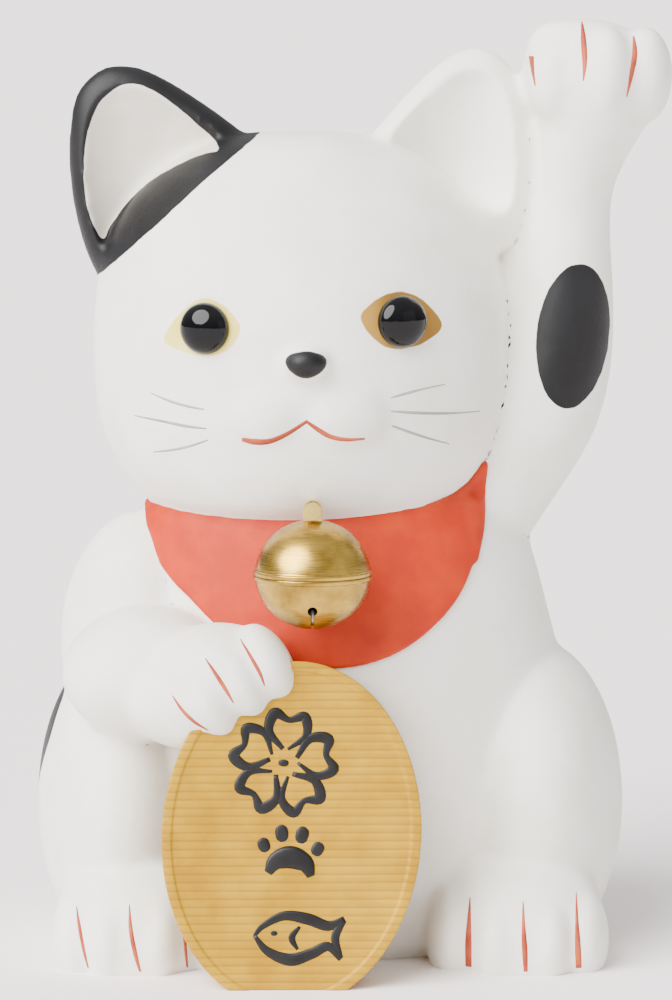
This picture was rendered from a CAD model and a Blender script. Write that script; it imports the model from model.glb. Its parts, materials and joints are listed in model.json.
# %% [markdown]
# # A beckoning cat in painted earthenware
# The real cat is cast in plaster moulds from liquid clay, in several pieces that are luted together
# with slip, fired, and painted by hand with matte colours. A brass bell hangs under its chin.
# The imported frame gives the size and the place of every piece, so it is loaded first.

# %% Load the frame
import json
import math

import bpy
import numpy as np
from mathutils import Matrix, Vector
from mathutils.bvhtree import BVHTree

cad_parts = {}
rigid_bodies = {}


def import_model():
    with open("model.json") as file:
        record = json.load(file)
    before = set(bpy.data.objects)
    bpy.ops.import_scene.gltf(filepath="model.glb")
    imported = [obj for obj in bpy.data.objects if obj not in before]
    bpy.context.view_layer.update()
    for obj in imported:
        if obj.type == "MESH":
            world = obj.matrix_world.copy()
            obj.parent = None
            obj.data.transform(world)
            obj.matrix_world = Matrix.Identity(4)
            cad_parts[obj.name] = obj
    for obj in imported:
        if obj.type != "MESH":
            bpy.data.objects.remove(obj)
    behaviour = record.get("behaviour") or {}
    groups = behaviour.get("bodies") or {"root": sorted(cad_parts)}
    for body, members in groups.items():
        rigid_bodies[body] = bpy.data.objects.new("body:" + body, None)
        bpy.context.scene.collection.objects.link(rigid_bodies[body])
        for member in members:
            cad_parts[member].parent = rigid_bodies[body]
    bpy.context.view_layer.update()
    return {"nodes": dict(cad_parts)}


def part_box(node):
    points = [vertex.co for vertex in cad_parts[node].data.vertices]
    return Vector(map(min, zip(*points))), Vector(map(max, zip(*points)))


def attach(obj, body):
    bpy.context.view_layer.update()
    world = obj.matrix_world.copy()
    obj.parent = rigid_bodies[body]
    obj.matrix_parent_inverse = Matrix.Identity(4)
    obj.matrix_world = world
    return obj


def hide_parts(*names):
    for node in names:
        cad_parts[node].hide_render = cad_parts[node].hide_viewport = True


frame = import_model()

MM = 0.001
bpy.ops.object.select_all(action="DESELECT")
print("CAD nodes:", len(frame["nodes"]))

# %% [markdown]
# ## The body's own axis
# A figure is drawn most easily about its own upright axis. The round stopper in the base stands
# 4 mm behind that axis, so the stopper's box says where the axis is. From here on every place is in
# millimetres: across to the cat's left, back from the face, and up from the table.

# %% Places about the body's axis
STOPPER_BEHIND_AXIS = 4 * MM
stopper_low, stopper_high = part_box("stopper")
AXIS = Vector((
    (stopper_low[0] + stopper_high[0]) / 2,
    (stopper_low[1] + stopper_high[1]) / 2 - STOPPER_BEHIND_AXIS,
    0,
))


def at(across, back, up):
    """A place in metres from millimetres about the body's axis."""
    return AXIS + Vector((across, back, up)) * MM


print("body axis at", [round(c / MM, 2) for c in AXIS], "mm")

# %% [markdown]
# ## Tools for clay
# Two starting lumps are enough for the whole cat: a ball pressed out of round, and a form thrown
# through level ovals. The second begins as a disc that is extruded upwards and resized at each step,
# which is how one would block out a vase.

# %% Lumps of clay
BALL_RINGS = 24
THROWN_SIDES = 32
SAME_PLACE = 0.001 * MM


def select_only(*pieces):
    """Makes these the only selected objects, the first one active."""
    bpy.ops.object.select_all(action="DESELECT")
    for piece in pieces:
        piece.select_set(True)
    bpy.context.view_layer.objects.active = pieces[0]
    return pieces[0]


def settle(name, turn=(0, 0, 0), scale=(1, 1, 1)):
    """Names the active primitive, then turns and scales it for good about where it stands."""
    piece = bpy.context.active_object
    piece.name = name
    piece.rotation_euler = [math.radians(angle) for angle in turn]
    piece.scale = scale
    select_only(piece)
    bpy.ops.object.transform_apply(location=True, rotation=True, scale=True)
    return piece


def ball(name, place, size, turn=(0, 0, 0)):
    """A ball pressed to the half sizes given in millimetres."""
    bpy.ops.mesh.primitive_uv_sphere_add(
        segments=2 * BALL_RINGS, ring_count=BALL_RINGS, radius=1, location=place,
    )
    return settle(name, turn, [s * MM for s in size])


def modify(piece, kind, **settings):
    """Adds a modifier with its settings and applies it at once."""
    select_only(piece)
    bpy.ops.object.modifier_add(type=kind)
    modifier = piece.modifiers[-1]
    for key, value in settings.items():
        setattr(modifier, key, value)
    bpy.ops.object.modifier_apply(modifier=modifier.name)
    return piece


def edit(piece):
    """Opens a piece in edit mode with everything selected."""
    select_only(piece)
    bpy.ops.object.mode_set(mode="EDIT")
    bpy.ops.mesh.select_all(action="SELECT")


def leave_edit():
    bpy.ops.object.mode_set(mode="OBJECT")


def thrown(name, rings, place=AXIS, turn=(0, 0, 0), smooth=1):
    """A closed form through level ovals, from the bottom up.

    Each oval is (across, back, up, half width, half depth) in millimetres about the place.
    """
    bpy.ops.mesh.primitive_circle_add(
        vertices=THROWN_SIDES, radius=1, fill_type="NGON", location=(0, 0, 0),
    )
    across, back, up, wide, deep = rings[0]
    piece = bpy.context.active_object
    piece.location = Vector((across, back, up)) * MM
    settle(name, scale=(wide * MM, deep * MM, 1))
    edit(piece)
    for before, after in zip(rings, rings[1:]):
        step = (Vector(after[:3]) - Vector(before[:3])) * MM
        bpy.ops.mesh.extrude_region_move(TRANSFORM_OT_translate={"value": step})
        bpy.ops.transform.resize(
            value=(after[3] / before[3], after[4] / before[4], 1),
            center_override=Vector(after[:3]) * MM,
        )
    bpy.ops.mesh.select_all(action="SELECT")
    bpy.ops.mesh.normals_make_consistent(inside=False)
    leave_edit()
    piece.location = place
    settle(name, turn)
    if smooth:
        modify(piece, "SUBSURF", levels=smooth, render_levels=smooth)
    return piece


def joined(name, *pieces):
    """Several closed lumps in one object."""
    select_only(*pieces)
    bpy.ops.object.join()
    pieces[0].name = name
    return pieces[0]


def carve(piece, *tools):
    """Cuts closed tools out of a piece and throws them away."""
    for tool in tools:
        modify(piece, "BOOLEAN", operation="DIFFERENCE", solver="EXACT", object=tool)
        bpy.data.objects.remove(tool)
    return piece


# %% [markdown]
# ## The body
# The torso is a smooth sack of clay, widest just above the feet. Two haunches lie against it and
# the hind feet reach forwards from under them. Low balls side by side on the front of each foot make
# the toes: where they meet, the smoothing below leaves the soft valleys that the painter lines.

# %% Torso, haunches and feet
TORSO_RINGS = [
    (0, 8.0, -6, 57, 44), (0, 8.0, 2, 61, 48), (0, 7.5, 18, 65.5, 52.5), (0, 6.0, 38, 66.5, 53.5),
    (0, 2.0, 60, 63, 50.5), (0, -3.0, 85, 56, 44.5), (0, -6.0, 104, 51.5, 38.5), (-1, -7.5, 124, 44, 33),
]
torso_clay = thrown("torso_clay", TORSO_RINGS)

FOOT_RINGS = [
    (0, 0, -4, 18.4, 19), (0, 0, 2, 20.3, 21.5), (0, 0, 9, 20.8, 22), (0, 0.5, 16, 20.2, 20.5),
    (0, 2, 22, 17.6, 17), (0, 5, 27.5, 12, 11),
]
FOOT_ACROSS = 48.5
FOOT_DEEP = 22
FOOT_REACH = 23
FOOT_BACK = -36.5
TOES_FRONT = -47.4
FOOT_TOES = {1: (30.8, 41.3, 54.5, 63.0), -1: (30.5, 42.8, 55.4, 63.0)}


def fall_back(aside):
    """How far the round front of a foot has curved back at this distance from its middle."""
    return FOOT_DEEP * (1 - math.sqrt(1 - (aside / FOOT_REACH) ** 2))


body_lumps = []
for side, toes in FOOT_TOES.items():
    body_lumps.append(ball("haunch", at(52.5 * side, -4, 36), (22.6, 43, 40.5)))
    body_lumps.append(thrown("foot", FOOT_RINGS, place=at(FOOT_ACROSS * side, FOOT_BACK, 0)))
    for across in toes:
        back = TOES_FRONT + fall_back(across - FOOT_ACROSS)
        body_lumps.append(ball("toe", at(across * side, back, 7), (6.9, 12.5, 12.8)))
body_clay = joined("body_clay", torso_clay, *body_lumps)
print("body lumps:", len(body_lumps) + 1)

# %% [markdown]
# ## The head
# The head is wider than it is deep and a little flat on top. Two low lobes make the muzzle, so a
# crease runs down from the nose between them. The ears are thrown like the torso, on sloping roots,
# and hollowed at the front with a smaller copy of themselves, which leaves the rim.

# %% Head with muzzle, nose and ears
HEAD_ACROSS = -7.6
HEAD_RINGS = [
    (2.0, -9, 110, 36, 33), (1.5, -9, 115.5, 42.5, 39.5), (0.8, -9, 122, 47.5, 43),
    (0, -9.5, 134, 51.8, 45.3), (0, -9.5, 150, 53.2, 46), (0, -9, 168, 52.6, 44.5),
    (0, -8, 184, 47.6, 40.5), (0, -7, 197, 37.5, 33), (0, -6.5, 204.5, 25, 24), (0, -6, 207.2, 12, 12),
]
FACE_MIDDLE = -5.8
head_clay = thrown("head_clay", HEAD_RINGS, place=at(HEAD_ACROSS, 0, 0))
muzzle = [ball("muzzle", at(FACE_MIDDLE + side * 8.5, -44.2, 139.5), (14, 12.2, 12)) for side in (-1, 1)]
nose = ball("nose", at(FACE_MIDDLE, -55.6, 152.2), (5.7, 4.9, 4.2))

EAR_RINGS = [
    (0, 0, -12, 27, 13), (0, 0, 0, 26.6, 12.5), (1.1, 0, 10, 23.6, 11.2), (2.7, 0, 20, 19.5, 9.3),
    (5.0, 0, 29, 14.3, 6.8), (6.2, 0, 34.5, 9.5, 4.6), (6.4, 0, 38.3, 4.5, 2.4),
]
EAR_RIM = 3.6
SCOOP_FORWARD = 8.2
# Across and up of each root, its slope, and shares of width and height; a negative width is mirrored.
EAR_ROOTS = {"right": (-40.0, 188.0, -42, 1.0, 1.0), "left": (28.8, 193.4, 30, -0.86, 0.93)}


def ear(side):
    """An ear on its sloping root; the cat's left one is a mirror image, narrower and lower."""
    across, up, slope, width, tall = EAR_ROOTS[side]
    root = at(across, -8, up)
    rings = [(u * width, v, w * tall, wide * abs(width), deep) for u, v, w, wide, deep in EAR_RINGS]
    scoop_rings = [(u, v, w - 1.2, wide - EAR_RIM, deep - 1) for u, v, w, wide, deep in rings[1:-1]]
    outside = thrown(f"{side}_ear", rings, place=root, turn=(0, slope, 0), smooth=2)
    scoop_root = root - Vector((0, SCOOP_FORWARD, 0)) * MM
    scoop = thrown("ear_scoop", scoop_rings, place=scoop_root, turn=(0, slope, 0), smooth=2)
    return carve(outside, scoop)


head_clay = joined("head_clay", head_clay, *muzzle, nose, ear("left"), ear("right"))

# %% [markdown]
# ## The arms and the tail
# The raised arm leaves the shoulder beside the cheek, narrows at the wrist and ends in a paw whose
# toes lie forwards over the top. The other arm crosses the chest, and its paw holds the coin: its
# four toes point down and towards the middle. The short tail lies against the back.

# %% Raised arm, holding arm and tail
RAISED_RINGS = [
    (31, -5, 92, 13, 15), (35.5, -5, 106, 16.5, 18), (42.5, -5, 119, 18.5, 19), (50.5, -5, 131, 18, 18.3),
    (56.2, -5.5, 146, 15.8, 16), (59.2, -6.5, 163, 13.2, 14), (60.3, -7.5, 178, 10.8, 12),
    (61.2, -8.5, 190, 9.4, 11), (63, -9.6, 198, 10.3, 12), (66.2, -11.5, 207, 12.6, 14),
    (67.2, -12.8, 214.5, 15.8, 15.3), (67.0, -13.2, 220, 17.6, 15.6), (65.4, -13.8, 226.5, 16.9, 14.3),
    (63.6, -14.2, 231.8, 14, 11), (62.2, -14.5, 235.8, 7.5, 6),
]
WEB_RINGS = [
    (42, -4, 118, 9, 10), (46, -4, 150, 9, 10.5), (50, -3, 172, 7.5, 9), (52.5, -2.5, 190, 6.5, 8),
    (53.5, -3, 205, 6, 7.5), (54, -4, 218, 4.5, 6),
]
RAISED_TOES = ((55.2, -9.5), (56.5, -17.6), (69.1, -21.2), (79.0, -16.5))
raised_toes = [ball("toe", at(across, back, 221.5), (6.9, 9.4, 12.2)) for across, back in RAISED_TOES]
raised_clay = joined(
    "raised_clay", thrown("raised_arm_clay", RAISED_RINGS), thrown("web", WEB_RINGS), *raised_toes,
)

HOLDING_TOES = (
    (-15.4, -57.8, 78.8, 30), (-22.2, -59.8, 75.0, 30), (-30.0, -59.6, 69.6, 34), (-37.4, -55.6, 65.2, 40),
)
holding_lumps = [
    ball("upper_arm", at(-48.0, -13, 77.5), (20.6, 23, 33.5)),
    ball("forearm", at(-45, -38.5, 73.2), (22, 20.5, 17)),
    ball("palm", at(-34, -51, 69.5), (17.5, 15, 13.5)),
    ball("mitt", at(-27.5, -53.8, 76), (17, 14.5, 12)),
]
holding_lumps += [
    ball("toe", at(across, back, up), (5.9, 9.6, 10.6), turn=(0, -lean, 0))
    for across, back, up, lean in HOLDING_TOES
]
holding_clay = joined("holding_clay", *holding_lumps)

tail_clay = ball("tail_clay", at(14, 58.5, 22), (11, 11.2, 22), turn=(0, 24, 0))

# %% [markdown]
# ## From lumps to one casting
# The lumps overlap, as clay does before it is smoothed. A voxel remesh turns them into one even skin
# and a smoothing pass rounds every meeting, as a wet sponge does. The foot is then cut flat.

# %% Join, remesh and sponge
VOXEL = 1.0 * MM
SPONGE_PASSES = 16
LUMPS = {
    "body_casting": body_clay,
    "head_casting": head_clay,
    "raised_arm": raised_clay,
    "holding_arm": holding_clay,
    "tail": tail_clay,
}
select_only(*LUMPS.values())
bpy.ops.object.duplicate()
skin = joined("cat_skin", *bpy.context.selected_objects)
modify(skin, "REMESH", mode="VOXEL", voxel_size=VOXEL, adaptivity=0)
modify(skin, "SMOOTH", factor=0.5, iterations=SPONGE_PASSES)
edit(skin)
bpy.ops.mesh.bisect(plane_co=(0, 0, 0), plane_no=(0, 0, 1), use_fill=True, clear_inner=True)
leave_edit()
print("skin faces:", len(skin.data.polygons))

# %% [markdown]
# ## Colours and finishes
# The real colours are matte casein or acrylic paints on fired clay, satin brass and glass. Each
# finish below is named for its material and says what it gives the eye. One function turns the
# colours from the hex values of a paint card to linear light, and one adds a node with its links.

# %% Helpers for finishes


def linear(card):
    """A paint-card colour (sRGB hex) in linear light."""
    channels = [int(card[n:n + 2], 16) / 255 for n in (1, 3, 5)]
    return [c / 12.92 if c <= 0.04045 else ((c + 0.055) / 1.055) ** 2.4 for c in channels] + [1]


def per_mm(size):
    """The texture scale that makes its features about this many millimetres."""
    return 1 / (size * MM)


def add(tree, kind, inputs, **settings):
    """Adds one node, sets it up and links or fills its inputs."""
    made = tree.nodes.new("ShaderNode" + kind)
    for key, value in settings.items():
        setattr(made, key, value)
    for key, value in inputs.items():
        if isinstance(value, bpy.types.NodeSocket):
            tree.links.new(value, made.inputs[key])
        else:
            made.inputs[key].default_value = value
    return made


def finish(name, **surface):
    """A new material and its tree, shader and Object coordinates."""
    material = bpy.data.materials.new(name)
    material.use_nodes = True
    tree = material.node_tree
    shader = tree.nodes["Principled BSDF"]
    for key, value in surface.items():
        shader.inputs[key.replace("_", " ")].default_value = value
    place = add(tree, "TexCoord", {}).outputs["Object"]
    return material, tree, shader, place


def noise(tree, place, size, detail=2, roughness=0.5):
    """Cloudy noise with features of this many millimetres."""
    inputs = {"Vector": place, "Scale": per_mm(size), "Detail": detail, "Roughness": roughness}
    return add(tree, "TexNoise", inputs).outputs["Fac"]


def ramped(tree, value, low, high, to_low=0.0, to_high=1.0):
    """The value stretched from one range to another, and held at its ends."""
    inputs = {"Value": value, "From Min": low, "From Max": high, "To Min": to_low, "To Max": to_high}
    return add(tree, "MapRange", inputs).outputs["Result"]


def mixed(tree, share, first, second):
    """Two colours mixed by a share from 0 to 1."""
    return add(tree, "MixRGB", {"Fac": share, "Color1": first, "Color2": second}).outputs["Color"]


def raised(tree, shader, heights):
    """Bumps on the surface from (height pattern, depth in millimetres) pairs."""
    normal = None
    for height, depth in heights:
        inputs = {"Height": height, "Distance": depth * MM, "Strength": 1.0}
        if normal:
            inputs["Normal"] = normal
        normal = add(tree, "Bump", inputs).outputs["Normal"]
    tree.links.new(normal, shader.inputs["Normal"])


# %% [markdown]
# ### Painted white earthenware
# Slip-cast earthenware under a brushed matte white. It scatters light softly, shows the grain of
# the paint at about half a millimetre, and clouds very slightly where the coat is thin. The black,
# cream and amber paint lie over it. Each coat follows an attribute of the piece that says how many
# millimetres inside its outline a point lies, plus ten, so the edge is crisp at any distance.

# %% Painted white earthenware
COATS = {
    "black_paint": ("#08080A", "#111115", 0.5),
    "ear_paint": ("#D6D0C4", "#E0DBD1", 0.70),
    "amber_pale": ("#E0CB62", "#EBDB80", 0.55),
    "amber_deep": ("#8C6622", "#A67F34", 0.55),
}
INSIDE = 10.0
EDGE_SOFT = 0.09
EDGE_WANDER = 0.2


def painted_earthenware():
    material, tree, shader, place = finish(
        "matte_painted_earthenware", Roughness=0.62, Specular_IOR_Level=0.3,
    )
    grain = noise(tree, place, 0.55, detail=3, roughness=0.6)
    cloud = noise(tree, place, 16, detail=3)
    hand = noise(tree, place, 3.2, detail=2)
    thin = ramped(tree, cloud, 0.42, 0.66)
    colour = mixed(tree, thin, linear("#F3F1EA"), linear("#ECE9E0"))
    speckle = ramped(tree, grain, 0.52, 0.75, 0.0, 0.30)
    colour = mixed(tree, speckle, colour, linear("#DEDACF"))
    gloss = ramped(tree, grain, 0.3, 0.7, 0.56, 0.68)
    for coat, (dark, light, roughness) in COATS.items():
        depth = add(tree, "Attribute", {}, attribute_name=coat).outputs["Fac"]
        wander = ramped(tree, hand, 0.3, 0.7, -EDGE_WANDER / 2, EDGE_WANDER / 2)
        depth = add(tree, "Math", {0: depth, 1: wander}, operation="ADD").outputs["Value"]
        covered = ramped(tree, depth, INSIDE - EDGE_SOFT, INSIDE + EDGE_SOFT)
        coat_colour = mixed(tree, ramped(tree, cloud, 0.4, 0.62), linear(dark), linear(light))
        colour = mixed(tree, covered, colour, coat_colour)
        tone = ramped(tree, grain, 0.3, 0.7, roughness - 0.05, roughness + 0.05)
        gloss = add(tree, "MixRGB", {"Fac": covered, "Color1": gloss, "Color2": tone}).outputs["Color"]
    tree.links.new(colour, shader.inputs["Base Color"])
    tree.links.new(gloss, shader.inputs["Roughness"])
    raised(tree, shader, [(grain, 0.035), (hand, 0.05)])
    return material


white_clay = painted_earthenware()


def matte_paint(name, dark, light, roughness):
    """A brushed matte colour: two tones in cloudy strokes, with the grain of the paint."""
    material, tree, shader, place = finish(name, Roughness=roughness, Specular_IOR_Level=0.3)
    grain = noise(tree, place, 0.5, detail=3, roughness=0.6)
    strokes = noise(tree, place, 7, detail=3)
    colour = mixed(tree, ramped(tree, strokes, 0.38, 0.64), linear(dark), linear(light))
    tree.links.new(colour, shader.inputs["Base Color"])
    gloss = ramped(tree, grain, 0.3, 0.7, roughness - 0.06, roughness + 0.06)
    tree.links.new(gloss, shader.inputs["Roughness"])
    raised(tree, shader, [(grain, 0.03), (strokes, 0.06)])
    return material


# Thin lines of iron-red paint: dull, a little uneven.
line_paint = matte_paint("iron_red_line_paint", "#97391F", "#BC5733", 0.55)
# Diluted black for the whiskers: a soft grey with no gloss.
whisker_paint = matte_paint("thin_grey_line_paint", "#8E8C88", "#A6A4A0", 0.6)
# Vermilion on the bib: a strong orange-red, matte, in broad strokes.
bib_paint = matte_paint("vermilion_brushed_paint", "#AC2600", "#B83000", 0.6)
# Black brushwork on the coin: dense, slightly satin.
brush_paint = matte_paint("black_brushwork_paint", "#0B0A0B", "#161516", 0.42)

# %% [markdown]
# ### Gold paint, brass, glass, steel and rubber
# The coin is brushed with ochre gold paint over horizontal ridges 2 mm apart, pressed in the mould.
# The bell is spun from satin brass, so fine turning lines run round it. The eyes are glass, the
# stopper moulded rubber.

# %% Gold paint and metals
RIDGE = 2.0


def gold_paint():
    """Ochre gold paint: a little metallic, and darker in the furrows between the pressed ridges."""
    material, tree, shader, place = finish(
        "ochre_gold_paint", Metallic=0.2, Roughness=0.5, Specular_IOR_Level=0.25,
    )
    across = add(tree, "Mapping", {"Vector": place, "Scale": (0.05, 0.05, 1.0)}).outputs["Vector"]
    # A wave texture turns through 20 radians in one unit of its scaled coordinate.
    inputs = {
        "Vector": across, "Scale": math.tau * per_mm(RIDGE) / 20, "Distortion": 0.6, "Detail": 2.0,
        "Detail Scale": 4.0,
    }
    ridges = add(tree, "TexWave", inputs, wave_type="BANDS", bands_direction="Z").outputs["Fac"]
    worn = noise(tree, place, 9, detail=3)
    grain = noise(tree, place, 0.5, detail=3)
    colour = mixed(tree, ramped(tree, worn, 0.35, 0.65), linear("#A87C02"), linear("#B88E0C"))
    shadow = ramped(tree, ridges, 0.0, 0.3, 0.45, 0.0)
    colour = mixed(tree, shadow, colour, linear("#7C5A06"))
    tree.links.new(colour, shader.inputs["Base Color"])
    tree.links.new(ramped(tree, worn, 0.3, 0.7, 0.44, 0.56), shader.inputs["Roughness"])
    raised(tree, shader, [(ridges, 0.09), (grain, 0.03)])
    return material


def metal(name, dark, light, roughness, line=0.25, lines=0.02):
    """A bare metal with fine lines round its upright axis."""
    material, tree, shader, place = finish(name, Metallic=1.0, Roughness=roughness)
    around = add(tree, "Mapping", {"Vector": place, "Scale": (0.03, 0.03, 1.0)}).outputs["Vector"]
    turned = noise(tree, around, line, detail=2)
    tarnish = noise(tree, place, 6, detail=3)
    colour = mixed(tree, ramped(tree, tarnish, 0.35, 0.7), linear(light), linear(dark))
    tree.links.new(colour, shader.inputs["Base Color"])
    gloss = ramped(tree, turned, 0.3, 0.7, roughness - 0.05, roughness + 0.07)
    tree.links.new(gloss, shader.inputs["Roughness"])
    raised(tree, shader, [(turned, lines)])
    return material


coin_gold = gold_paint()
# Satin spun brass: warm, with soft wide highlights drawn out by the turning lines.
bell_brass = metal("satin_spun_brass", "#90712C", "#BE9C48", 0.28)
# Drawn brass wire and strip: a little brighter and smoother.
wire_brass = metal("drawn_brass", "#B59445", "#D9BE6C", 0.24, line=0.4, lines=0.008)
# Ground steel ball: grey and bright.
ball_steel = metal("ground_steel_ball", "#8F9092", "#B4B5B7", 0.22, line=0.5, lines=0.003)


def glass_eye():
    """Black glass: a deep gloss that mirrors the light, barely uneven, as a hand-made drop is."""
    material, tree, shader, place = finish("black_drop_glass", Roughness=0.05, Specular_IOR_Level=0.25)
    swirl = noise(tree, place, 2.5, detail=1)
    colour = mixed(tree, swirl, linear("#020203"), linear("#07070B"))
    tree.links.new(colour, shader.inputs["Base Color"])
    tree.links.new(ramped(tree, swirl, 0.3, 0.7, 0.03, 0.08), shader.inputs["Roughness"])
    raised(tree, shader, [(swirl, 0.01)])
    return material


black_glass = glass_eye()
# Moulded soft rubber: grey, dusty and dull.
stopper_rubber = matte_paint("moulded_grey_rubber", "#5E5D5B", "#6C6B68", 0.72)
print("finishes:", len(bpy.data.materials))

# %% [markdown]
# ## Lines on the surface
# A painted line is planned from the front, as (across, up, width) in millimetres. It is
# rounded off, and each of its points is dropped onto the clay by a straight look from the front.

# %% Laying lines on the clay
LOOK = Vector((0, 1, 0))
LOOK_FROM = -200
ROUNDED_STEPS = 6
PAINT_PROUD = 0.1
PAINT_EDGE = 0.03
PAINT_SUNK = 0.5
skin_tree = BVHTree.FromObject(skin, bpy.context.evaluated_depsgraph_get())


def rounded(points, closed=False):
    """A smooth line through the points (Catmull-Rom)."""
    points = [Vector(p) for p in points]
    if closed:
        points = [points[-1], *points, points[0], points[1]]
    else:
        points = [2 * points[0] - points[1], *points, 2 * points[-1] - points[-2]]
    line = []
    for a, b, c, d in zip(points, points[1:], points[2:], points[3:]):
        for n in range(ROUNDED_STEPS):
            t = n / ROUNDED_STEPS
            bend, twist = 2 * a - 5 * b + 4 * c - d, 3 * b - a - 3 * c + d
            line.append(0.5 * (2 * b + (c - a) * t + bend * t ** 2 + twist * t ** 3))
    return line if closed else [*line, points[-2]]


def tubes(name, lines, finish):
    """Round tapered strokes through (place, radius in millimetres) pairs, as one closed mesh."""
    curve = bpy.data.curves.new(name, "CURVE")
    curve.dimensions = "3D"
    curve.bevel_depth = MM
    curve.bevel_resolution = 3
    curve.use_fill_caps = True
    for line in lines:
        spline = curve.splines.new("POLY")
        spline.points.add(len(line) - 1)
        for point, (place, radius) in zip(spline.points, line):
            point.co = (*place, 1)
            point.radius = radius
    bpy.context.collection.objects.link(bpy.data.objects.new(name, curve))
    select_only(bpy.data.objects[name])
    bpy.ops.object.convert(target="MESH")
    piece = bpy.context.active_object
    edit(piece)
    bpy.ops.mesh.remove_doubles(threshold=SAME_PLACE)
    bpy.ops.mesh.normals_make_consistent(inside=False)
    leave_edit()
    piece.data.materials.clear()
    piece.data.materials.append(finish)
    return piece


def drop(across, up):
    """Where a line of sight from the front meets the clay, and the clay's normal there."""
    return skin_tree.ray_cast(at(across, LOOK_FROM, up), LOOK)[:2]


def brushed(points):
    """A flat painted line on the clay: a narrow grid whose every point is dropped onto it."""
    # Where the line runs past the edge of the clay it ends there.
    line = [p for p in rounded(points) if all(drop(p.x + side * p.z, p.y)[0] for side in (-1, 0, 1))]
    bpy.ops.mesh.primitive_grid_add(x_subdivisions=2, y_subdivisions=len(line) - 1, size=2)
    ribbon = bpy.context.active_object
    for vertex in ribbon.data.vertices:
        n = round((vertex.co.y + 1) / 2 * (len(line) - 1))
        side = round(vertex.co.x)
        ahead = line[min(n + 1, len(line) - 1)] - line[max(n - 1, 0)]
        aside = Vector((ahead.y, -ahead.x)).normalized() * side * line[n].z / 2
        hit, normal = drop(line[n].x + aside.x, line[n].y + aside.y)
        vertex.co = hit + normal * MM * (PAINT_EDGE if side else PAINT_PROUD)
    if ribbon.data.polygons[0].normal.y > 0:
        edit(ribbon)
        bpy.ops.mesh.flip_normals()
        leave_edit()
    modify(ribbon, "SOLIDIFY", thickness=PAINT_SUNK * MM, offset=-1)
    return ribbon


# %% [markdown]
# ## The strokes between the toes
# The toes are parted by strokes of iron-red paint, thin where the brush lands and fat below. Each is
# a narrow grid dropped onto the clay.

# %% Strokes between the toes
TOE_STROKES = [
    # raised paw
    [(50.6, 233.2, 0.4), (50.3, 228, 1.2), (50.6, 223, 0.8), (51.2, 219, 0.3)],
    [(62.9, 234.8, 0.5), (63.1, 230, 1.4), (63.3, 225, 1.2), (63.0, 220.4, 0.3)],
    [(75.8, 231.2, 0.5), (75.9, 227, 1.4), (75.0, 222, 1.2), (73.8, 216.3, 0.3)],
    # holding paw
    [(-21.9, 85.2, 0.25), (-19.5, 81.6, 0.8), (-17.2, 77.6, 0.9), (-15.9, 74.2, 0.3)],
    [(-30.4, 81.0, 0.25), (-28.0, 77.6, 0.9), (-25.6, 73.8, 1.0), (-23.5, 70.0, 0.3)],
    [(-38.5, 71.6, 0.25), (-36.2, 68.2, 0.8), (-33.2, 65.2, 0.9), (-29.8, 63.0, 0.3)],
    # left foot
    [(34.9, 18.2, 0.25), (34.6, 13, 1.0), (34.4, 7, 1.6), (34.5, 1.2, 1.5)],
    [(47.9, 18.2, 0.25), (47.9, 13, 0.9), (48.2, 7, 1.4), (48.5, 1.2, 1.0)],
    [(61.3, 19.4, 0.25), (61.3, 13, 0.9), (61.5, 7, 1.5), (61.8, 1.4, 1.5)],
    # right foot
    [(-63.0, 16.4, 0.25), (-62.2, 12, 0.8), (-61.0, 6, 0.8), (-60.0, 1.5, 0.4)],
    [(-49.7, 17.6, 0.25), (-49.3, 12, 1.0), (-48.2, 6, 1.1), (-47.0, 1.2, 0.6)],
    [(-36.5, 15.0, 0.25), (-36.2, 10, 0.7), (-35.8, 5, 0.7), (-35.5, 1.2, 0.4)],
]
toe_lines = joined("toe_lines", *[brushed(points) for points in TOE_STROKES])
toe_lines.data.materials.append(line_paint)
bpy.ops.object.shade_smooth()
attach(toe_lines, "cat")
print("toe lines:", len(TOE_STROKES))

# %% [markdown]
# ## A flat cutter
# Anything that has an outline from the front, such as the bib, is cut with a plate of that outline.

# %% Plate with an outline


def plate(name, outline, low, high):
    """A flat plate with this outline seen from the front, from one depth to another."""
    curve = bpy.data.curves.new(name, "CURVE")
    curve.dimensions = "2D"
    curve.fill_mode = "BOTH"
    curve.extrude = (high - low) / 2 * MM
    spline = curve.splines.new("POLY")
    spline.points.add(len(outline) - 1)
    spline.use_cyclic_u = True
    for point, corner in zip(spline.points, outline):
        point.co = (corner[0] * MM, corner[1] * MM, 0, 1)
    piece = bpy.data.objects.new(name, curve)
    bpy.context.collection.objects.link(piece)
    select_only(piece)
    bpy.ops.object.convert(target="MESH")
    piece = bpy.context.active_object
    piece.location = at(0, (low + high) / 2, 0)
    settle(name, turn=(90, 0, 0))
    edit(piece)
    bpy.ops.mesh.remove_doubles(threshold=SAME_PLACE)
    bpy.ops.mesh.normals_make_consistent(inside=False)
    leave_edit()
    return piece


# %% [markdown]
# ## Hollowing
# A slip casting is hollow, with walls of about 5 mm. The body has a round hole in its foot for the
# stopper inside a shallow recess, and the head has a coin slot at the back.

# %% Hollow body and head, recess, bore and coin slot
WALL = 5.2
STOPPER_AT = (0, STOPPER_BEHIND_AXIS / MM)
BELOW_FOOT = -1
RECESS_RADIUS, RECESS_TOP = 34, 2
BORE_RADIUS, BORE_TOP = 17.2, 15
COIN_SLOT_AT = at(HEAD_ACROSS, 35, 152.4)
COIN_SLOT_SIZE = (34, 60, 4.8)
CLAY_EDGE = math.radians(38)


def inner(rings):
    return [(across, back, up, wide - WALL, deep - WALL) for across, back, up, wide, deep in rings]


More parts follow.
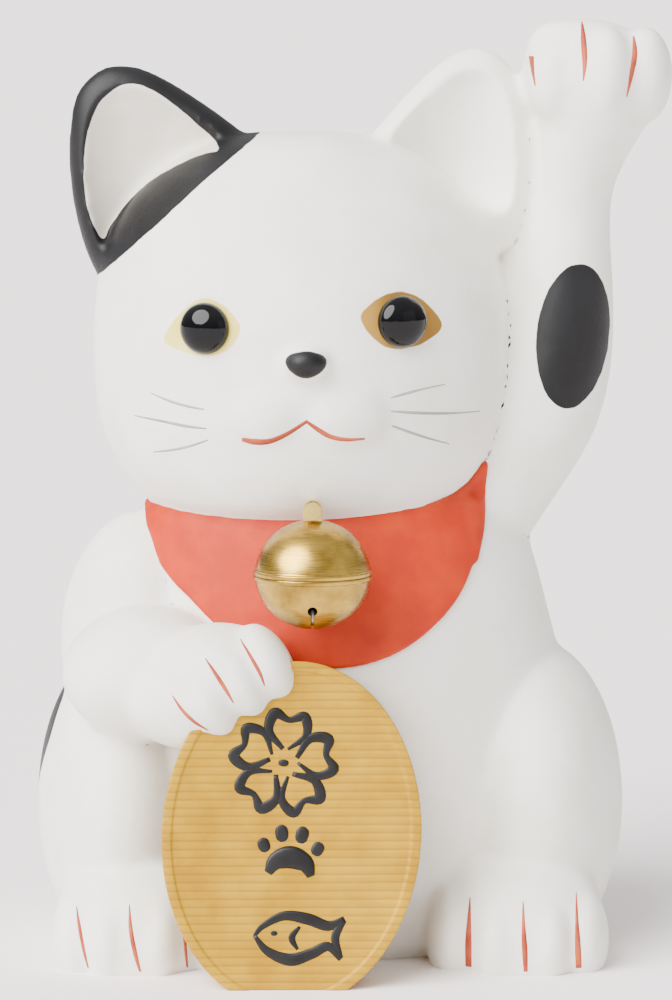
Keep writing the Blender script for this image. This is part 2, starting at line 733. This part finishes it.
body_hollow = thrown("body_hollow", inner([(0, 7.5, 7.5, 63, 50), *TORSO_RINGS[2:7]]))
head_hollow = thrown("head_hollow", inner(HEAD_RINGS[2:9]), place=at(HEAD_ACROSS, 0, 0))


def drum(name, radius, low, high):
    """An upright cylinder about the stopper's axis."""
    bpy.ops.mesh.primitive_cylinder_add(
        vertices=96, radius=radius * MM, depth=(high - low) * MM, location=at(*STOPPER_AT, (high + low) / 2),
    )
    return settle(name)


def block(name, middle_place, size, turn=(0, 0, 0)):
    """A block by its middle and its sides in millimetres."""
    bpy.ops.mesh.primitive_cube_add(size=1, location=middle_place)
    return settle(name, turn, [s * MM for s in size])


BIB_PROUD = 1.3
CHEST_MIDDLE = -12
TIP_FRONT = -60
TIP_OUTLINE = [
    (20, 100), (36.0, 101), (37.6, 108), (38.2, 116), (38.8, 124.2), (36.8, 121.8), (34.6, 119.2),
    (30.1, 116.3), (26, 114.9), (20, 112),
]
select_only(skin)
bpy.ops.object.duplicate()
bib_tip = bpy.context.active_object
bib_tip.name = "bib_tip"
tip_keep = plate("tip_keep", TIP_OUTLINE, TIP_FRONT, CHEST_MIDDLE)
modify(bib_tip, "BOOLEAN", operation="INTERSECT", solver="EXACT", object=tip_keep)
bpy.data.objects.remove(tip_keep)
modify(bib_tip, "DISPLACE", strength=BIB_PROUD * MM, mid_level=0)

skin.data.materials.append(white_clay)
carve(
    skin, body_hollow, head_hollow,
    drum("recess", RECESS_RADIUS, BELOW_FOOT, RECESS_TOP),
    drum("bore", BORE_RADIUS, BELOW_FOOT, BORE_TOP),
    block("coin_slot", COIN_SLOT_AT, COIN_SLOT_SIZE),
)
select_only(skin)
bpy.ops.object.shade_smooth_by_angle(angle=CLAY_EDGE)
print("hollow casting:", len(skin.data.polygons), "faces")

# %% [markdown]
# ## Parting the casting
# On the bench the cat is five castings luted together. Each face of the skin goes to the lump that
# it lies nearest to, strays are given to their neighbours, and each part is closed with a luting
# face at its seam. The smooth shading of the whole is carried over, so most seams hardly show. The
# seam between the head and the raised arm still has a row of small dark specks.

# %% Part the skin into its castings
STRAY_ROUNDS = 4
SEAM_SIDES = 8


def nearest_lump(names):
    """For each face of the skin, the number of the lump whose surface is nearest."""
    graph = bpy.context.evaluated_depsgraph_get()
    trees = [BVHTree.FromObject(LUMPS[name], graph) for name in names]
    return [
        min(range(len(trees)), key=lambda n: trees[n].find_nearest(face.center)[3])
        for face in skin.data.polygons
    ]


def settle_strays(mesh, owner):
    """Gives each face to the majority around it, then each stray patch to its neighbours."""
    sides = {}
    for face in mesh.polygons:
        for key in face.edge_keys:
            sides.setdefault(key, []).append(face.index)
    beside = [[] for _ in mesh.polygons]
    for faces in sides.values():
        if len(faces) == 2:
            beside[faces[0]].append(faces[1])
            beside[faces[1]].append(faces[0])
    for _ in range(STRAY_ROUNDS):
        owner = [
            max(set(around), key=around.count) if around else own
            for own, around in ((own, [owner[n] for n in beside[f]] + [own]) for f, own in enumerate(owner))
        ]
    patches, seen = [], [False] * len(owner)
    for start in range(len(owner)):
        if seen[start]:
            continue
        patch, edge = [], [start]
        seen[start] = True
        while edge:
            face = edge.pop()
            patch.append(face)
            for other in beside[face]:
                if not seen[other] and owner[other] == owner[start]:
                    seen[other] = True
                    edge.append(other)
        patches.append(patch)
    largest = {}
    for patch in patches:
        kind = owner[patch[0]]
        largest[kind] = max(largest.get(kind, 0), len(patch))
    for patch in sorted(patches, key=len):
        kind = owner[patch[0]]
        around = [owner[n] for f in patch for n in beside[f] if owner[n] != kind]
        if len(patch) < largest[kind] and around:
            for f in patch:
                owner[f] = max(set(around), key=around.count)
    return owner


CASTINGS = list(LUMPS)
owner = settle_strays(skin.data, nearest_lump(CASTINGS))
print({name: owner.count(n) for n, name in enumerate(CASTINGS)})

# %% Close each casting at its seams and keep the shading of the whole
skin.data.attributes.new("casting", "INT", "FACE").data.foreach_set("value", owner)


def parted(number, name):
    """One casting cut from a copy of the whole skin, closed at its seams."""
    select_only(skin)
    bpy.ops.object.duplicate()
    piece = bpy.context.active_object
    piece.name = name + "_skin"
    mesh = piece.data
    belongs = mesh.attributes["casting"].data
    mesh.polygons.foreach_set("select", [item.value != number for item in belongs])
    bpy.ops.object.mode_set(mode="EDIT")
    bpy.ops.mesh.select_mode(type="FACE")
    bpy.ops.mesh.delete(type="FACE")
    bpy.ops.mesh.select_mode(type="VERT")
    bpy.ops.mesh.select_all(action="SELECT")
    bpy.ops.mesh.fill_holes(sides=0)
    bpy.ops.mesh.select_mode(type="FACE")
    bpy.ops.mesh.select_all(action="DESELECT")
    bpy.ops.mesh.select_face_by_sides(number=SEAM_SIDES, type="GREATER")
    bpy.ops.mesh.quads_convert_to_tris(ngon_method="BEAUTY")
    leave_edit()
    modify(
        piece, "DATA_TRANSFER", object=skin, use_loop_data=True, data_types_loops={"CUSTOM_NORMAL"},
        loop_mapping="NEAREST_POLYNOR",
    )
    return piece


castings = {name: parted(n, name) for n, name in enumerate(CASTINGS)}
for lump in [*LUMPS.values(), skin]:
    bpy.data.objects.remove(lump)
for name, piece in castings.items():
    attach(piece, "cat")
    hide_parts(name)
    print(name, len(piece.data.polygons), "faces")

# %% [markdown]
# ## Painting the patches
# A painter masks nothing: the black runs over the right ear and the brow, the nose, an oval on the
# raised arm and a patch on the right flank. Each outline is a few points in millimetres, seen from
# the front or from the side.

# %% Painted outlines


def inside_by(points, outline):
    """How far inside a closed outline each point lies; outside is negative."""
    near = np.full(len(points), np.inf)
    inside = np.zeros(len(points), bool)
    for a, b in zip(outline, np.roll(outline, -1, axis=0)):
        along = b - a
        share = np.clip(((points - a) @ along) / (along @ along), 0, 1)
        near = np.minimum(near, np.hypot(*(points - a - share[:, None] * along).T))
        crossing = (a[1] > points[:, 1]) != (b[1] > points[:, 1])
        reach = a[0] + (points[:, 1] - a[1]) / ((b[1] - a[1]) or 1) * along[0]
        inside ^= crossing & (points[:, 0] < reach)
    return np.where(inside, near, -near)


def paint(piece, coat, outline, seen=(0, 2), below=None):
    """Adds an outline to a coat of paint, kept where one coordinate is below a limit."""
    mesh = piece.data
    places = np.empty(3 * len(mesh.vertices))
    mesh.vertices.foreach_get("co", places)
    places = (places.reshape(-1, 3) - np.array(AXIS)) / MM
    depth = inside_by(places[:, seen], np.array([tuple(p)[:2] for p in outline]))
    if below:
        axis, limit = below
        depth = np.minimum(depth, limit - places[:, axis])
    if coat in mesh.attributes:
        before = np.empty(len(mesh.vertices))
        mesh.attributes[coat].data.foreach_get("value", before)
        depth = np.maximum(depth, before - INSIDE)
    else:
        mesh.attributes.new(coat, "FLOAT", "POINT")
    mesh.attributes[coat].data.foreach_set("value", np.maximum(depth + INSIDE, 0))


def oval(across, up, wide, tall, lean=0, narrow=0.0):
    """An oval outline, leaned by an angle and narrower below by a share."""
    turned = math.radians(lean)
    points = []
    for n in range(48):
        u, v = math.cos(n * math.pi / 24), math.sin(n * math.pi / 24)
        u *= wide * (1 + narrow * v)
        v *= tall
        points.append((
            across + u * math.cos(turned) + v * math.sin(turned),
            up - u * math.sin(turned) + v * math.cos(turned),
        ))
    return points


BROW_PATCH = [
    (-90, 150), (-61.5, 167.5), (-59.4, 170.2), (-49.9, 178.6), (-39.7, 187.9), (-29.8, 197.0),
    (-18.0, 206.6), (-14, 209), (-20, 250), (-90, 250),
]
EAR_FIELD = [
    (-57.6, 180.2), (-61.2, 188), (-62.0, 197.6), (-61.0, 207), (-57.8, 214.6), (-52.5, 218.7),
    (-47.0, 218.6), (-40, 214.5), (-33, 208.6), (-27.9, 203.3), (-31.5, 202.0), (-37.5, 199.4),
    (-44.6, 195.2), (-51, 189.4), (-55.3, 183.6),
]
NOSE_SPOT = oval(FACE_MIDDLE, 152.1, 5.0, 3.3, narrow=0.22)
ARM_SPOT = oval(61.3, 156.0, 9.4, 18.3, lean=6)
FLANK_PATCH = [
    (-19, 54), (-15, 63), (-7, 70), (6, 72), (22, 68), (38, 60), (44, 48), (36, 37), (20, 33), (4, 34),
    (-7, 38), (-15, 45),
]
EYE_RIGHT = [
    (-41.0, 156.9), (-38.2, 162.2), (-34, 166.4), (-30, 167.6), (-26, 166), (-23.4, 163.4), (-21.9, 160.6),
    (-23.5, 156.8), (-27, 154.2), (-31, 153.6), (-36, 154.4),
]
EYE_LEFT = [
    (7.5, 163.4), (10.5, 166.8), (14.5, 168.9), (19, 168.9), (23.6, 166.4), (27.8, 160.8), (24.5, 157.2),
    (19, 155.4), (14, 155.8), (10, 158.8),
]
head, body, arm = (castings[name] for name in ("head_casting", "body_casting", "raised_arm"))
paint(head, "black_paint", BROW_PATCH)
paint(head, "black_paint", NOSE_SPOT, below=(1, -40))
# Near its rim the ear is thinner than this depth, so a streak of the cream reaches its back as well.
paint(head, "ear_paint", rounded(EAR_FIELD, closed=True), below=(1, -1.5))
paint(head, "amber_pale", rounded(EYE_RIGHT, closed=True), below=(1, -30))
paint(head, "amber_deep", rounded(EYE_LEFT, closed=True), below=(1, -30))
paint(arm, "black_paint", ARM_SPOT, below=(1, -3))
paint(body, "black_paint", rounded(FLANK_PATCH, closed=True), seen=(1, 2), below=(0, 0))

# %% [markdown]
# ## Mouth and whiskers
# They are drawn with a fine brush, so they swell and end thin. Each is a narrow grid dropped onto
# the face, with its middle a tenth of a millimetre proud.

# %% Mouth and whiskers
MOUTH = [
    [(-21.6, 133.3, 1.0), (-18.6, 132.8, 1.6), (-14.8, 133.0, 1.4), (-10.4, 134.9, 1.1), (-5.5, 138.0, 0.8)],
    [(-5.9, 138.0, 0.7), (-2.6, 135.7, 1.2), (0.4, 134.1, 1.2), (4.2, 133.4, 1.0), (8.6, 133.5, 0.5)],
]
WHISKERS = [
    [(-44.4, 143.7, 0.3), (-39, 141.9, 0.65), (-34.5, 140.9, 0.6), (-31.0, 140.4, 0.35)],
    [(-48.6, 137.6, 0.3), (-42, 136.9, 0.6), (-35.5, 136.0, 0.75), (-30.4, 135.6, 0.35)],
    [(-43.9, 128.7, 0.3), (-39, 129.7, 0.6), (-34.5, 131.0, 0.6), (-30.0, 132.8, 0.3)],
    [(15.0, 143.3, 0.4), (19, 144.3, 0.7), (23.5, 145.2, 0.5), (28.4, 145.9, 0.25)],
    [(15.0, 140.0, 0.4), (21, 139.3, 0.75), (29, 138.6, 0.6), (37.6, 138.2, 0.25)],
    [(15.2, 136.4, 0.4), (19, 134.8, 0.7), (24, 132.8, 0.55), (29.6, 130.8, 0.25)],
]
for name, lines, paint_used in (("mouth_line", MOUTH, line_paint), ("whiskers", WHISKERS, whisker_paint)):
    strokes = joined(name, *[brushed(points) for points in lines])
    strokes.data.materials.append(paint_used)
    bpy.ops.object.shade_smooth()
    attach(strokes, "cat")

# %% [markdown]
# ## The bib
# The bib is modelled in low relief: a skin a little larger than the chest, less the chest itself,
# kept only inside the bib's outline and a narrow band round the nape. A fine remesh and a few
# smoothing passes round its edge.

# %% Bib
BIB_SUNK = -1.4
BIB_FRONT = -80
BIB_OUTLINE = [
    (38.9, 125), (38.4, 121), (37.9, 112), (36.2, 101.5), (32.0, 92.2), (25.0, 84.7), (17.0, 79.4),
    (7.9, 76.4), (-2, 75.6), (-12, 76.6), (-24, 82), (-34.8, 91.5), (-39.4, 95.6), (-43.6, 100.8),
    (-46.1, 107.5), (-47.2, 114), (-47.6, 125),
]


def grown(rings, by):
    return [(across, back, up, wide + by, deep + by) for across, back, up, wide, deep in rings]


bib = thrown("bib_relief", grown(TORSO_RINGS[3:], BIB_PROUD), smooth=2)
carve(bib, thrown("bib_core", grown(TORSO_RINGS[2:7] + [(-1, -7.5, 130, 44, 33)], BIB_SUNK), smooth=2))
bib_edge = rounded([(across, up, 0) for across, up in BIB_OUTLINE], closed=True)
bib_keep = plate("bib_keep", [point[:2] for point in bib_edge], BIB_FRONT, CHEST_MIDDLE)
band_keep = block("band_keep", at(0, 52, 112), (200, 100, 10))
modify(bib_keep, "BOOLEAN", operation="UNION", solver="EXACT", object=band_keep)
modify(bib, "BOOLEAN", operation="INTERSECT", solver="EXACT", object=bib_keep)
for tool in (bib_keep, band_keep):
    bpy.data.objects.remove(tool)
bib = joined("bib_relief", bib, bib_tip)
modify(bib, "REMESH", mode="VOXEL", voxel_size=0.6 * MM, adaptivity=0)
modify(bib, "SMOOTH", factor=0.5, iterations=5)
bib.data.materials.clear()
bib.data.materials.append(bib_paint)
select_only(bib)
bpy.ops.object.shade_smooth()
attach(bib, "cat")
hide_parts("bib")
print("bib faces:", len(bib.data.polygons))

# %% [markdown]
# ## The koban
# The oval gold coin is a thick slab that leans back against the belly and stands on its cut foot.
# It starts as a disc, is stretched to an oval, extruded to its thickness, and its front is inset
# for the rim and pressed in for the field. Its edges are then rounded.

# %% Koban
KOBAN_LEAN = 9
KOBAN_ROLL = 3.5
KOBAN_UP = 37.5
KOBAN_FOOT = -74.0
KOBAN_AT = at(-9.4, KOBAN_FOOT + KOBAN_UP * math.tan(math.radians(KOBAN_LEAN)), KOBAN_UP)
KOBAN_HALF = (31.8, 42.6)
KOBAN_THICK = 15
KOBAN_RIM = 2.3
KOBAN_FIELD = 0.45
KOBAN_STEP = 0.35
KOBAN_ROUND = 1.3
SHARP_EDGE = math.radians(50)
METAL_EDGE = math.radians(35)


def lean_koban(name):
    """Turns the active piece from upright about its middle to the coin's lean and roll."""
    piece = bpy.context.active_object
    piece.location = KOBAN_AT
    return settle(name, (-KOBAN_LEAN, KOBAN_ROLL, 0))


bpy.ops.mesh.primitive_circle_add(vertices=160, radius=1, fill_type="NGON", location=(0, 0, 0))
koban = settle("koban_coin", turn=(90, 0, 0), scale=(KOBAN_HALF[0] * MM, KOBAN_HALF[1] * MM, 1))
edit(koban)
bpy.ops.mesh.extrude_region_move(TRANSFORM_OT_translate={"value": (0, KOBAN_THICK * MM, 0)})
bpy.ops.mesh.select_all(action="SELECT")
bpy.ops.mesh.normals_make_consistent(inside=False)
leave_edit()
for face in koban.data.polygons:
    face.select = face.normal.y < -0.9
bpy.ops.object.mode_set(mode="EDIT")
bpy.ops.mesh.select_mode(type="FACE")
bpy.ops.mesh.inset(thickness=KOBAN_RIM * MM)
bpy.ops.mesh.inset(thickness=KOBAN_STEP * MM, depth=-KOBAN_FIELD * MM)
leave_edit()
modify(koban, "BEVEL", width=KOBAN_ROUND * MM, segments=4, limit_method="ANGLE", angle_limit=SHARP_EDGE)
lean_koban("koban_coin")
edit(koban)
bpy.ops.mesh.bisect(plane_co=(0, 0, 0), plane_no=(0, 0, 1), use_fill=True, clear_inner=True)
leave_edit()
koban.data.materials.append(coin_gold)
select_only(koban)
bpy.ops.object.shade_smooth_by_angle(angle=METAL_EDGE)
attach(koban, "cat")
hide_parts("koban")

# %% [markdown]
# ### Brushwork on the coin
# Three generic motifs stand in a column, painted with a full brush: a blossom, a paw print and a
# fish. They are strokes of changing width, pressed flat on the field.

# %% Motifs
BRUSH_FLAT = 0.14
BRUSH_PROUD = 0.02


def petal(angle, centre=(-3.0, 17.5), near=3.4, far=13.2, wide=4.6):
    """One petal of the blossom as a closed brush stroke that swells at its tip."""
    turned = math.radians(angle)
    out = Vector((math.sin(turned), math.cos(turned)))
    side = Vector((out.y, -out.x))
    middle_point = Vector(centre)
    shape = ((near, -0.6, 1.2), (near + 4, -wide, 2.3), (far - 1.4, -wide * 0.8, 3.0), (far - 2.6, 0, 1.6),
             (far - 1.4, wide * 0.8, 2.8), (near + 4, wide, 2.0), (near, 0.6, 0.8))
    return [(*(middle_point + out * u + side * v), width) for u, v, width in shape]


def dot(across, up, wide, tall, lean=0):
    """A pressed brush mark: a short stroke that is fattest in its middle."""
    turned = math.radians(lean)
    step = Vector((math.sin(turned), math.cos(turned))) * (tall - wide * 0.55) / 2
    middle_point = Vector((across, up))
    press = ((-1.25, 0.35), (-0.8, 0.85), (0, 1), (0.8, 0.85), (1.25, 0.3))
    return [(*(middle_point + step * t), wide * width) for t, width in press]


MOTIFS = [petal(angle) for angle in (4, 76, 148, 220, 292)]
MOTIFS += [dot(-3.0, 17.5, 2.6, 2.8)]
MOTIFS += [
    [(-5.2, -9.6, 2.0), (-3.4, -6.6, 4.6), (0.2, -5.4, 5.8), (3.8, -6.8, 4.6), (5.4, -9.8, 2.0)],
    dot(-6.6, -2.8, 3.2, 4.6, -24), dot(-2.4, 0.3, 3.4, 5.2, -8),
    dot(2.6, 0.2, 3.4, 5.2, 10), dot(6.6, -3.0, 3.2, 4.6, 26),
]
MOTIFS += [
    [
        (14.2, -19.6, 1.4), (10.4, -21.6, 2.6), (5.2, -20.2, 3.0), (-0.6, -19.8, 2.4), (-5.6, -22.6, 1.6),
        (-7.6, -25.2, 0.9),
    ],
    [
        (-7.6, -25.0, 1.0), (-4.2, -28.6, 2.2), (1.4, -30.4, 3.2), (6.6, -28.6, 2.8), (10.6, -26.6, 2.4),
        (13.8, -29.6, 1.2),
    ],
    [(14.0, -19.9, 1.6), (12.2, -24.4, 2.2), (13.9, -29.2, 1.2)],
    [(3.4, -22.2, 0.8), (1.6, -25.0, 1.8), (3.2, -27.8, 0.8)],
    dot(-2.8, -24.2, 1.7, 1.9),
]
strokes = []
for points in MOTIFS:
    strokes.append([(Vector((across, 0, up)) * MM, width / 2) for across, up, width in rounded(points)])
motifs = tubes("koban_motifs", strokes, brush_paint)
edit(motifs)
bpy.ops.transform.resize(value=(1, BRUSH_FLAT, 1), center_override=(0, 0, 0))
bpy.ops.transform.translate(value=(0, (KOBAN_FIELD - BRUSH_PROUD) * MM, 0))
leave_edit()
select_only(motifs)
lean_koban("koban_motifs")
bpy.ops.object.shade_smooth()
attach(motifs, "cat")

# %% [markdown]
# ## The bell
# Two half shells are spun from thin brass and meet at turned-out lips. Each starts as a ball whose
# other half is cut away. Its open edge is pulled outwards and on for the lip, and the sheet gets its
# thickness last. The lower half has a sound slot with a round hole at each end.

# %% Bell shells
BELL_AT = at(-4.2, -61.3, 101.0)
BELL_RADIUS = 14.2
BELL_SQUASH = 13.4 / 14.2
LIP_OUT = 0.5
LIP_TALL = 1.25
LIP_GAP = 0.04
LIP_RISE = 0.12
LIP_ROUND = 0.22
BELL_SHEET = 0.6
LIP_EDGE = math.radians(40)


def half_shell(name, way):
    """The upper (way 1) or lower (way -1) half of the bell."""
    bpy.ops.mesh.primitive_uv_sphere_add(
        segments=96, ring_count=48, radius=BELL_RADIUS * MM, location=BELL_AT,
    )
    settle(name, scale=(1, 1, BELL_SQUASH))
    shell = bpy.context.active_object
    edit(shell)
    lip_at = BELL_AT + Vector((0, 0, way * LIP_TALL * MM))
    bpy.ops.mesh.bisect(plane_co=lip_at, plane_no=(0, 0, way), clear_inner=True)
    leave_edit()
    for vertex in shell.data.vertices:
        vertex.select = abs(vertex.co.z - lip_at.z) < 0.01 * MM
    bpy.ops.object.mode_set(mode="EDIT")
    bpy.ops.mesh.select_mode(type="VERT")
    wide = (BELL_RADIUS + LIP_OUT) / BELL_RADIUS
    bpy.ops.mesh.extrude_region_move(TRANSFORM_OT_translate={"value": (0, 0, -way * LIP_RISE * MM)})
    bpy.ops.transform.resize(value=(wide, wide, 1), center_override=lip_at)
    bpy.ops.mesh.extrude_region_move(
        TRANSFORM_OT_translate={"value": (0, 0, -way * (LIP_TALL - LIP_RISE - LIP_GAP) * MM)},
    )
    bpy.ops.mesh.select_all(action="SELECT")
    bpy.ops.mesh.normals_make_consistent(inside=False)
    leave_edit()
    modify(shell, "SOLIDIFY", thickness=BELL_SHEET * MM, offset=-1)
    modify(shell, "BEVEL", width=LIP_ROUND * MM, segments=3, limit_method="ANGLE", angle_limit=LIP_EDGE)
    return shell


HOLE_DOWN = 7.7
HOLE_RADIUS = 1.2
SLOT_WIDE = 0.8
SLOT_LONG = 23.3
SLOT_DEEP = 14
upper_shell = half_shell("bell_upper", 1)
lower_shell = half_shell("bell_lower", -1)
bpy.ops.mesh.primitive_cylinder_add(
    vertices=48, radius=HOLE_RADIUS * MM, depth=SLOT_LONG * 1.4 * MM,
    location=BELL_AT - Vector((0, 0, HOLE_DOWN * MM)),
)
holes = settle("holes", turn=(90, 0, 0))
slot_at = BELL_AT - Vector((0, 0, (HOLE_DOWN + SLOT_DEEP / 2) * MM))
slot_tool = block("slot_tool", slot_at, (SLOT_WIDE, SLOT_LONG, SLOT_DEEP))
carve(lower_shell, holes, slot_tool)
for shell, node in ((upper_shell, "bell_upper_shell"), (lower_shell, "bell_lower_shell")):
    shell.data.materials.clear()
    shell.data.materials.append(bell_brass)
    select_only(shell)
    bpy.ops.object.shade_smooth_by_angle(angle=METAL_EDGE)
    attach(shell, "bell")
    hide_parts(node)
print("bell shells:", len(upper_shell.data.polygons), len(lower_shell.data.polygons))

# %% [markdown]
# ## Pieces that keep their CAD shape
# The glass eyes, the bell's loop, pin and pellet and the stopper are already the right shape. They
# only get their finishes.

# %% Finishes for the carried pieces
CARRIED = {
    "left_eye": black_glass, "right_eye": black_glass, "bell_loop": wire_brass, "bell_pin": wire_brass,
    "bell_pellet": ball_steel, "stopper": stopper_rubber,
}
for name, material in CARRIED.items():
    carried = frame["nodes"][name]
    carried.data.materials.clear()
    carried.data.materials.append(material)

# %% [markdown]
# ## Studio
# A long lens looks slightly down at the cat. The key light is a broad soft sun, high on the left and
# in front, and a weak square light fills the right side. The sky is dim at the horizon and brighter
# overhead, so the tops of things are paler than their sides.

# %% Camera, floor and lights
bpy.ops.object.camera_add(location=at(1.5, -1291.6, 259.5))
camera = bpy.context.active_object
camera.name = "camera"
camera.rotation_euler = (at(1.5, 0, 112.3) - camera.location).to_track_quat("-Z", "Y").to_euler()
camera.data.sensor_fit = "VERTICAL"
camera.data.sensor_height = 36
camera.data.lens = 182.5
bpy.context.scene.camera = camera

bpy.ops.mesh.primitive_plane_add(size=60, location=(0, 0, 0))
floor = bpy.context.active_object
floor.name = "floor"
paper, _, paper_shader, _ = finish("matte_studio_paper", Roughness=0.9, Specular_IOR_Level=0.1)
paper_shader.inputs["Base Color"].default_value = linear("#FBF5F5")
floor.data.materials.append(paper)


def soft_light(name, kind, place, strength, tint):
    """A light that faces the cat."""
    bpy.ops.object.light_add(type=kind, location=place)
    light = bpy.context.active_object
    light.name = name
    light.rotation_euler = (at(0, 0, 110) - light.location).to_track_quat("-Z", "Y").to_euler()
    light.data.energy = strength
    light.data.color = tint
    return light


SKY_LOW = 0.38
SKY_HIGH = 1.1
soft_light("key_light", "SUN", (-1.0, -0.95, 1.15), 10, (1.0, 0.995, 0.98)).data.angle = math.radians(55)
soft_light("fill_light", "AREA", (0.95, -0.8, 0.35), 1.0, (1.0, 0.97, 0.93)).data.size = 0.9
world = bpy.data.worlds.new("studio")
bpy.context.scene.world = world
world.use_nodes = True
sky = world.node_tree
up = add(sky, "SeparateXYZ", {"Vector": add(sky, "TexCoord", {}).outputs["Generated"]}).outputs["Z"]
glow = ramped(sky, up, 0.0, 0.8, SKY_LOW, SKY_HIGH)
backdrop = sky.nodes["Background"]
backdrop.inputs["Color"].default_value = (1.0, 0.985, 0.98, 1)
sky.links.new(glow, backdrop.inputs["Strength"])
